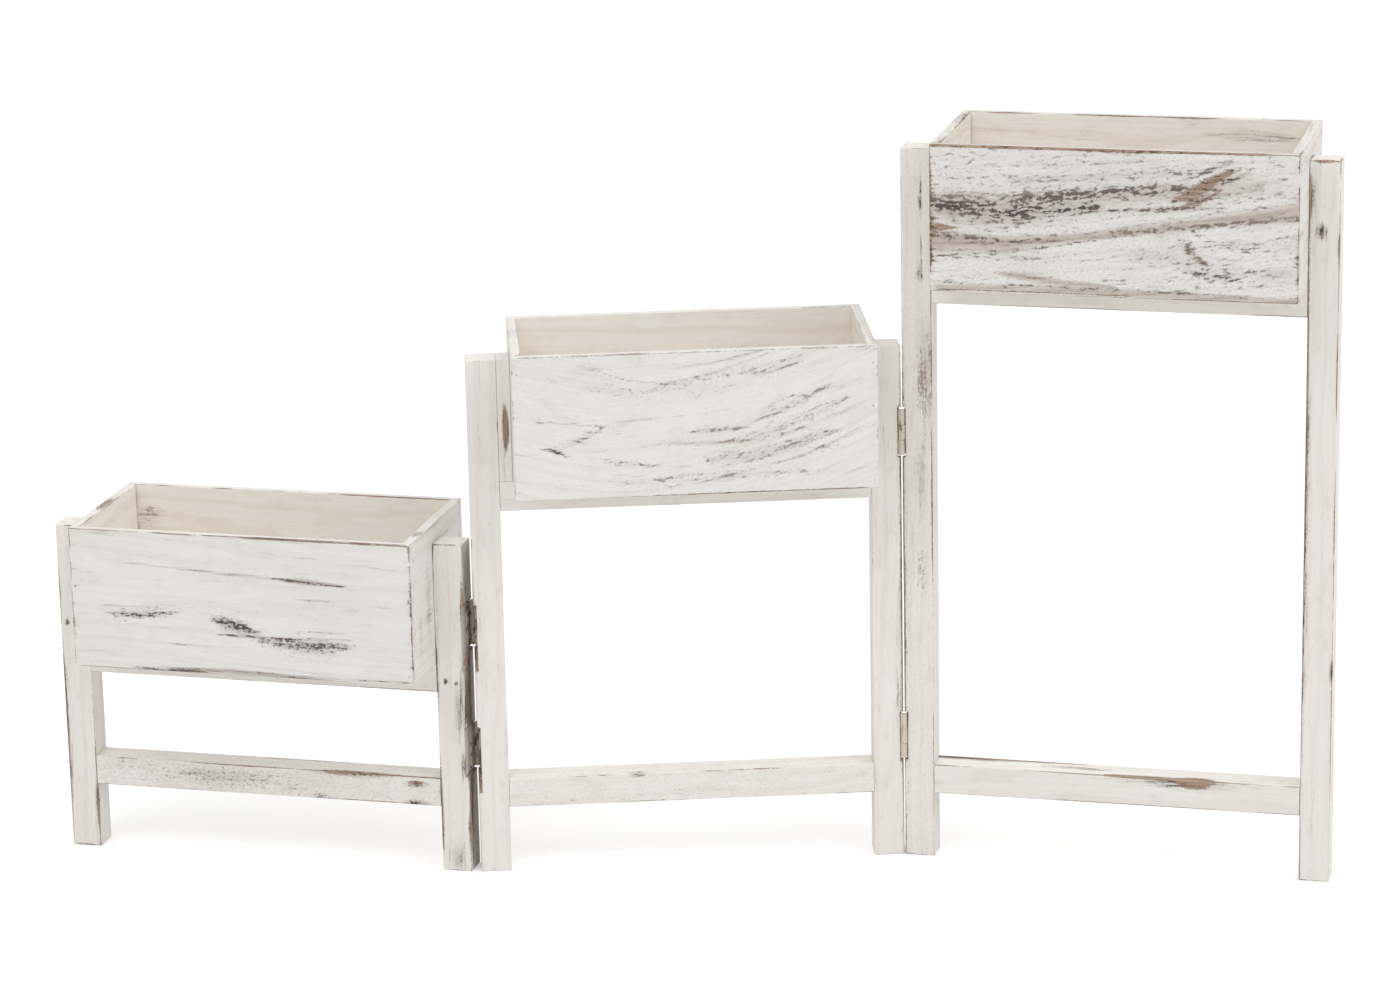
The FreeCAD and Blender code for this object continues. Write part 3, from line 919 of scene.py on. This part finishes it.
# %% [markdown]
# ## The run of the grain
# All layers of the finish follow the wood. The place in the grain is first pushed sideways
# by a slow noise, so every line wavers with its neighbours. Year rings are circles about a
# pith outside the board, which show as arches where the saw met them flat. Marks are noise
# stretched along the grain: long, in short dashes or round.

# %% Fields that follow the grain
sway = 0.01
pith = (0, 0.045, 0.018)
years, year_drift, year_waver = 105, 1.6, 3
row_pace, row_waver, row_height = 235, 3, 0.075
full_turn = 2 * math.pi


def year_rings(recipe, straight, grain):
    """The sine of the distance to the pith, plus a drift along the grain and a slow noise, so
    one wave is one year."""
    flat = recipe.vector("MULTIPLY", recipe.vector("SUBTRACT", grain, pith), (0, 1, 1))
    away = recipe.operated("VectorMath", "LENGTH", [flat]).outputs["Value"]
    slow = recipe.noise(straight, (2.5, 12, 12), detail=2)
    phase = recipe.maths("MULTIPLY_ADD", away, years, recipe.times(slow, year_waver))
    along = recipe.node("SeparateXYZ", Vector=straight).outputs[0]
    phase = recipe.maths("MULTIPLY_ADD", along, year_drift, phase)
    return recipe.fade(recipe.maths("SINE", recipe.times(phase, full_turn)), 0.2, 1.0)


def grain_marks(recipe, kind, grain):
    """Long lines, wavering rows of dashes or speckles, by the kind from 0 to 2.

    The rows are the sine of the place across the grain plus a slow noise, broken up by a
    rougher noise.
    """
    long_marks = recipe.noise(grain, (30, 640, 640), detail=6, roughness=0.68)
    breaks = recipe.noise(grain, (130, 230, 230), detail=5, roughness=0.62, distortion=0.5)
    waver = recipe.times(recipe.noise(grain, (60, 90, 90), detail=2), row_waver)
    place = recipe.node("SeparateXYZ", Vector=grain).outputs
    rows = recipe.plus(recipe.times(recipe.plus(place[1], place[2]), row_pace), waver)
    rows = recipe.maths("SINE", recipe.times(rows, full_turn))
    dashes = recipe.maths("MULTIPLY_ADD", breaks, 1.2, -0.11)
    dashes = recipe.maths("MULTIPLY_ADD", rows, row_height, dashes)
    speckles = recipe.noise(grain, (330, 430, 430), roughness=0.6)
    marks = recipe.lerp(recipe.fade(kind, 0, 1), long_marks, dashes)
    return recipe.lerp(recipe.fade(kind, 1, 2), marks, speckles)


def grain_fields(recipe):
    """Fibres, marks, flecks, clouds, mottle and rings, each about 0 to 1."""
    straight = recipe.named("grain")
    place = recipe.vector("MULTIPLY", straight, (9, 22, 22))
    push = recipe.node("TexNoise", Vector=place, Scale=1).outputs["Color"]
    push = recipe.vector("SUBTRACT", push, (0.5, 0.5, 0.5))
    grain = recipe.vector("ADD", straight, recipe.vector("MULTIPLY", push, (0, sway, sway)))
    kind = recipe.named("mark_kind", "Fac")
    return {
        "kind": kind,
        "rings": year_rings(recipe, straight, grain),
        "marks": grain_marks(recipe, kind, grain),
        "fibres": recipe.noise(grain, (6, 420, 420), detail=5, roughness=0.65),
        "flecks": recipe.noise(grain, (420, 900, 900), roughness=0.6),
        "clouds": recipe.noise(grain, (14, 40, 40)),
        "mottle": recipe.noise(grain, (45, 110, 110), detail=5, roughness=0.7),
    }


print("one year, mm:", round(1000 / years, 1))


# %% [markdown]
# ## Whitewashed wood
# The finish is built up as the real one was. First the white paint, a little creamier along
# the fibres and rings, thinner inside the boxes, where its wash is paler than the outer paint
# as painted light against the shade within the boxes. Then dark dirt that stays in the grain,
# and last the arrises, rubbed back to brown wood. The wear and stain of each point move the
# thresholds of the fields, so a soft streak breaks up into fine ragged lines.

# %% The whitewash
def painted(recipe, field, thin, white, cream, wash_with_painted_light):
    """White paint: creamy along the fibres, mottled, thin and beige where thin is 1, and a
    warm wash where it is -1, paler than the outer paint as painted light for the shaded
    inside of the boxes."""
    blend, fade, times, tint = recipe.blend, recipe.fade, recipe.times, recipe.tint
    fibres, rings, mottle, flecks = (field[key] for key in ("fibres", "rings", "mottle", "flecks"))
    paint = tint(white, cream, recipe.lerp(0.35, fibres, field["clouds"]), 0.42, 0.72, 0.8)
    paint = blend(times(rings, 0.16), paint, seen(212, 204, 194))
    paint = tint(paint, seen(214, 208, 200), mottle, 0.5, 0.75, 0.5)
    speckled = times(fade(flecks, 0.5, 0.68), fade(field["kind"], 0, 1))
    paint = blend(times(speckled, 0.42), paint, seen(182, 174, 166))
    coat = blend(fade(fibres, 0.38, 0.66), seen(202, 191, 179), seen(170, 156, 143))
    coat = tint(coat, seen(168, 152, 138), flecks, 0.5, 0.7, 0.5)
    paint = blend(fade(thin, 0.2, 1), paint, coat)
    washed_with_painted_light = tint(wash_with_painted_light, seen(228, 218, 204), fibres, 0.4, 0.7, 0.25)
    washed_with_painted_light = blend(times(rings, 0.25), washed_with_painted_light, seen(224, 212, 196))
    washed_with_painted_light = tint(washed_with_painted_light, seen(218, 207, 193), mottle, 0.48, 0.75, 0.35)
    return blend(fade(times(thin, -1), 0.2, 0.9), paint, washed_with_painted_light)


def dirtied(recipe, field, stain_and_shade, colour):
    """Grey smears and dark marks over the paint, and how much of each place they cover.

    A place is marked where the fields, added, rise over a threshold that the stain lowers.
    """
    blend, fade, times = recipe.blend, recipe.fade, recipe.times
    plus, minus = recipe.plus, recipe.minus
    smear = plus(stain_and_shade, times(minus(field["clouds"], 0.5), 0.9))
    colour = recipe.tint(colour, seen(176, 165, 156), smear, 0.30, 1.25, 0.62)
    mixed = plus(times(field["marks"], 0.6), times(field["fibres"], 0.16))
    mixed = plus(mixed, times(field["flecks"], 0.24))
    mixed = plus(mixed, times(minus(field["rings"], 0.5), 0.04))
    dark = plus(mixed, times(minus(stain_and_shade, 1), 0.225))
    colour = recipe.tint(colour, seen(156, 145, 137), dark, 0.37, 0.47, 0.34)
    dirt = blend(fade(field["clouds"], 0.35, 0.65), seen(88, 78, 74), seen(120, 102, 91))
    dirt = blend(fade(stain_and_shade, 0.85, 1.0), dirt, seen(74, 65, 62))
    marked = times(fade(dark, 0.462, 0.505), recipe.lerp(fade(stain_and_shade, 0.5, 0.98), 0.5, 0.95))
    return blend(marked, colour, dirt), marked


def whitewash(name, white, cream, wash_with_painted_light):
    """Painted, dirtied and rubbed wood, which is rougher and lies lower where it is bare."""
    recipe = Recipe(bpy.data.materials.new(name))
    blend, fade, times, plus = recipe.blend, recipe.fade, recipe.times, recipe.plus
    field = grain_fields(recipe)
    wear_and_shade, stain_and_shade, thin = recipe.node("SeparateXYZ", Vector=recipe.named("finish")).outputs
    colour = painted(recipe, field, thin, white, cream, wash_with_painted_light)
    colour, marked = dirtied(recipe, field, stain_and_shade, colour)
    wood = blend(fade(field["fibres"], 0.35, 0.65), seen(140, 112, 93), seen(182, 158, 136))
    wood = blend(fade(field["marks"], 0.5, 0.65), wood, seen(104, 82, 69))
    ragged = plus(times(field["fibres"], 0.30), times(field["flecks"], 0.35))
    ragged = plus(ragged, times(field["mottle"], 0.35))
    rubbed = plus(ragged, times(recipe.minus(wear_and_shade, 1), 0.6))
    colour = recipe.tint(colour, seen(134, 112, 98), rubbed, 0.28, 0.38, 0.6)
    bare = fade(rubbed, 0.37, 0.45)
    colour = blend(times(bare, 0.94), colour, wood)
    height = recipe.minus(times(field["fibres"], 0.5), plus(bare, marked))
    return recipe.surface(colour, plus(times(bare, 0.15), 0.62), height)


# The third tone of each is the wash inside the boxes, paler than the outer paint: painted light that makes up for
# the shade within the boxes.
whites = {
    "frame_wood": (seen(237, 234, 228), seen(229, 222, 212), seen(240, 235, 226)),
    "box_wood": (seen(233, 231, 227), seen(226, 221, 213), seen(243, 239, 232)),
}
paints = {slot: whitewash("whitewashed_" + slot.split("_")[0], *tones) for slot, tones in whites.items()}
for node, piece in wood_pieces.items():
    piece.data.materials.append(paints["box_wood" if node.endswith("board") else "frame_wood"])
print("whitewash nodes:", [len(paint.node_tree.nodes) for paint in paints.values()])

# %% [markdown]
# ## Hinges, nails and screws
# The hinges were brushed over with the same paint, which has worn back to dull brown steel,
# more so between the short and the middle frame, where the paint is also darker as painted
# shade of the deep gap between those legs. Some heads of the dark nails and screws are painted
# over. These pieces are small and exact, so the CAD nodes stay and get a finish.

# %% Metal finishes
def worn_steel(name, paint, steel, painted_share):
    """Paint on steel, worn off in blotches above the painted share, with fine pits in both."""
    recipe = Recipe(bpy.data.materials.new(name))
    blend, fade = recipe.blend, recipe.fade
    place = recipe.node("TexCoord").outputs["Object"]
    blotches = recipe.noise(place, (300, 300, 90), detail=4, roughness=0.6)
    pits = recipe.noise(place, (1400, 1400, 1400), detail=2)
    bare = fade(blotches, painted_share - 0.04, painted_share + 0.04)
    metal = blend(fade(pits, 0.4, 0.8), steel, seen(84, 70, 60))
    coat = blend(fade(pits, 0.45, 0.8), paint, seen(188, 174, 157))
    roughness = recipe.plus(recipe.times(pits, 0.3), 0.38)
    height, metallic = recipe.minus(pits, bare), recipe.times(bare, 0.75)
    return recipe.surface(blend(bare, coat, metal), roughness, height, 0.0001, metallic)


metals = {
    "tall_hinge": worn_steel("painted_hinge_steel", seen(216, 207, 194), seen(128, 110, 94), 0.64),
    # Darker paint on the short hinges is painted shade of the gap between the short and middle legs; their larger
    # bare share is wear.
    "short_hinge": worn_steel("worn_hinge_steel", seen(200, 190, 176), seen(122, 106, 92), 0.53),
    "fastener_steel": worn_steel("nail_steel", seen(218, 212, 203), seen(100, 84, 70), 0.58),
}
slots = {row["node"]: row["material_slot"] for row in frame["record"]["subparts"]}
dressed = 0
for node, thing in frame["nodes"].items():
    side = "_".join(node.split("_")[:2])
    metal = metals.get(side if slots[node] == "hinge_steel" else slots[node])
    if metal:
        thing.data.materials.clear()
        thing.data.materials.append(metal)
        dressed += 1
print("metal nodes:", dressed)

# %% [markdown]
# ## A white studio
# A wide floor is lit as the stand is, and a little light of its own, which falls on nothing
# else, lifts it to white while it keeps the soft shadow. The world is white to the camera
# and dimmer as a light.

# %% Floor and world
floor_reach = 30
floor_lift = 0.27
sky_level = 0.68

floor_mesh = bpy.data.meshes.new("studio_floor")
corners = [(x * floor_reach, y * floor_reach, 0) for x, y in ((-1, -1), (1, -1), (1, 1), (-1, 1))]
floor_mesh.from_pydata(corners, [], [(0, 1, 2, 3)])
floor = placed("studio_floor", floor_mesh)

recipe = Recipe(bpy.data.materials.new("studio_floor"))
rays = recipe.node("LightPath").outputs
looking = recipe.maths("MAXIMUM", rays["Is Camera Ray"], rays["Is Glossy Ray"])
looking = recipe.maths("MAXIMUM", looking, rays["Is Transmission Ray"])
matt = recipe.node("BsdfDiffuse", Color=seen(234, 234, 234))
lift = recipe.node("Emission", Color=(1, 1, 1, 1), Strength=recipe.times(looking, floor_lift))
both = recipe.node("AddShader")
recipe.put(both.inputs[0], matt.outputs["BSDF"])
recipe.put(both.inputs[1], lift.outputs["Emission"])
recipe.node("OutputMaterial", Surface=both.outputs["Shader"])
floor_mesh.materials.append(recipe.owner)

world = bpy.data.worlds.new("studio")
scene.world = world
recipe = Recipe(world)
rays = recipe.node("LightPath").outputs
looking = recipe.maths("MAXIMUM", rays["Is Camera Ray"], rays["Is Transmission Ray"])
level = recipe.node("MapRange", Value=looking, To_Min=sky_level, To_Max=1).outputs["Result"]
sky = recipe.node("Background", Color=(1, 1, 1, 1), Strength=level)
recipe.node("OutputWorld", Surface=sky.outputs["Background"])
print("floor, metres across:", 2 * floor_reach)

# %% [markdown]
# ## Lamps
# Three wide, soft suns stand in for softboxes: one from the front right, a weaker one from
# the front left and one from behind, so a colour comes out about as it is written.

# %% Three soft lamps
# Degrees round from the front and up, strength, and degrees across.
lamps = {
    "front_left": (-36, 52, 0.6, 42),
    "front_right": (56, 44, 0.8, 46),
    "behind": (172, 50, 0.36, 44),
}
lamp_distance = 4
for name, (turn, climb, strength, softness) in lamps.items():
    light = bpy.data.lights.new(name, "SUN")
    light.energy = strength
    light.angle = math.radians(softness)
    lamp = placed(name, light)
    turn, climb = math.radians(turn), math.radians(climb)
    level = math.cos(climb)
    towards = Vector((math.sin(turn) * level, -math.cos(turn) * level, math.sin(climb)))
    lamp.rotation_euler = towards.to_track_quat("Z", "Y").to_euler()
    lamp.location = towards * lamp_distance
print(len(lamps), "lamps")

# %% [markdown]
# ## The camera
# The camera stands where the perspective of the boxes' edges says it stood: almost four
# metres away, a little to the left and 1.36 m up, rolled about a degree.

# %% Camera
picture_width, sensor_width = 1400, 36
focal_pixels = 4700
camera_place = (-0.224, -3.715, 1.361)
looked_at = (0.012, 0, 0.312)
roll = math.radians(-1.16)

camera_data = bpy.data.cameras.new("camera")
camera_data.sensor_width = sensor_width
camera_data.lens = focal_pixels * sensor_width / picture_width
camera = placed("camera", camera_data)
camera.location = camera_place
aim = Vector(looked_at) - camera.location
camera.rotation_mode = "QUATERNION"
camera.rotation_quaternion = aim.to_track_quat("-Z", "Y") @ Quaternion((0, 0, 1), roll)
scene.camera = camera
scene.view_settings.view_transform = "Standard"
print("lens, mm:", round(camera_data.lens, 1))
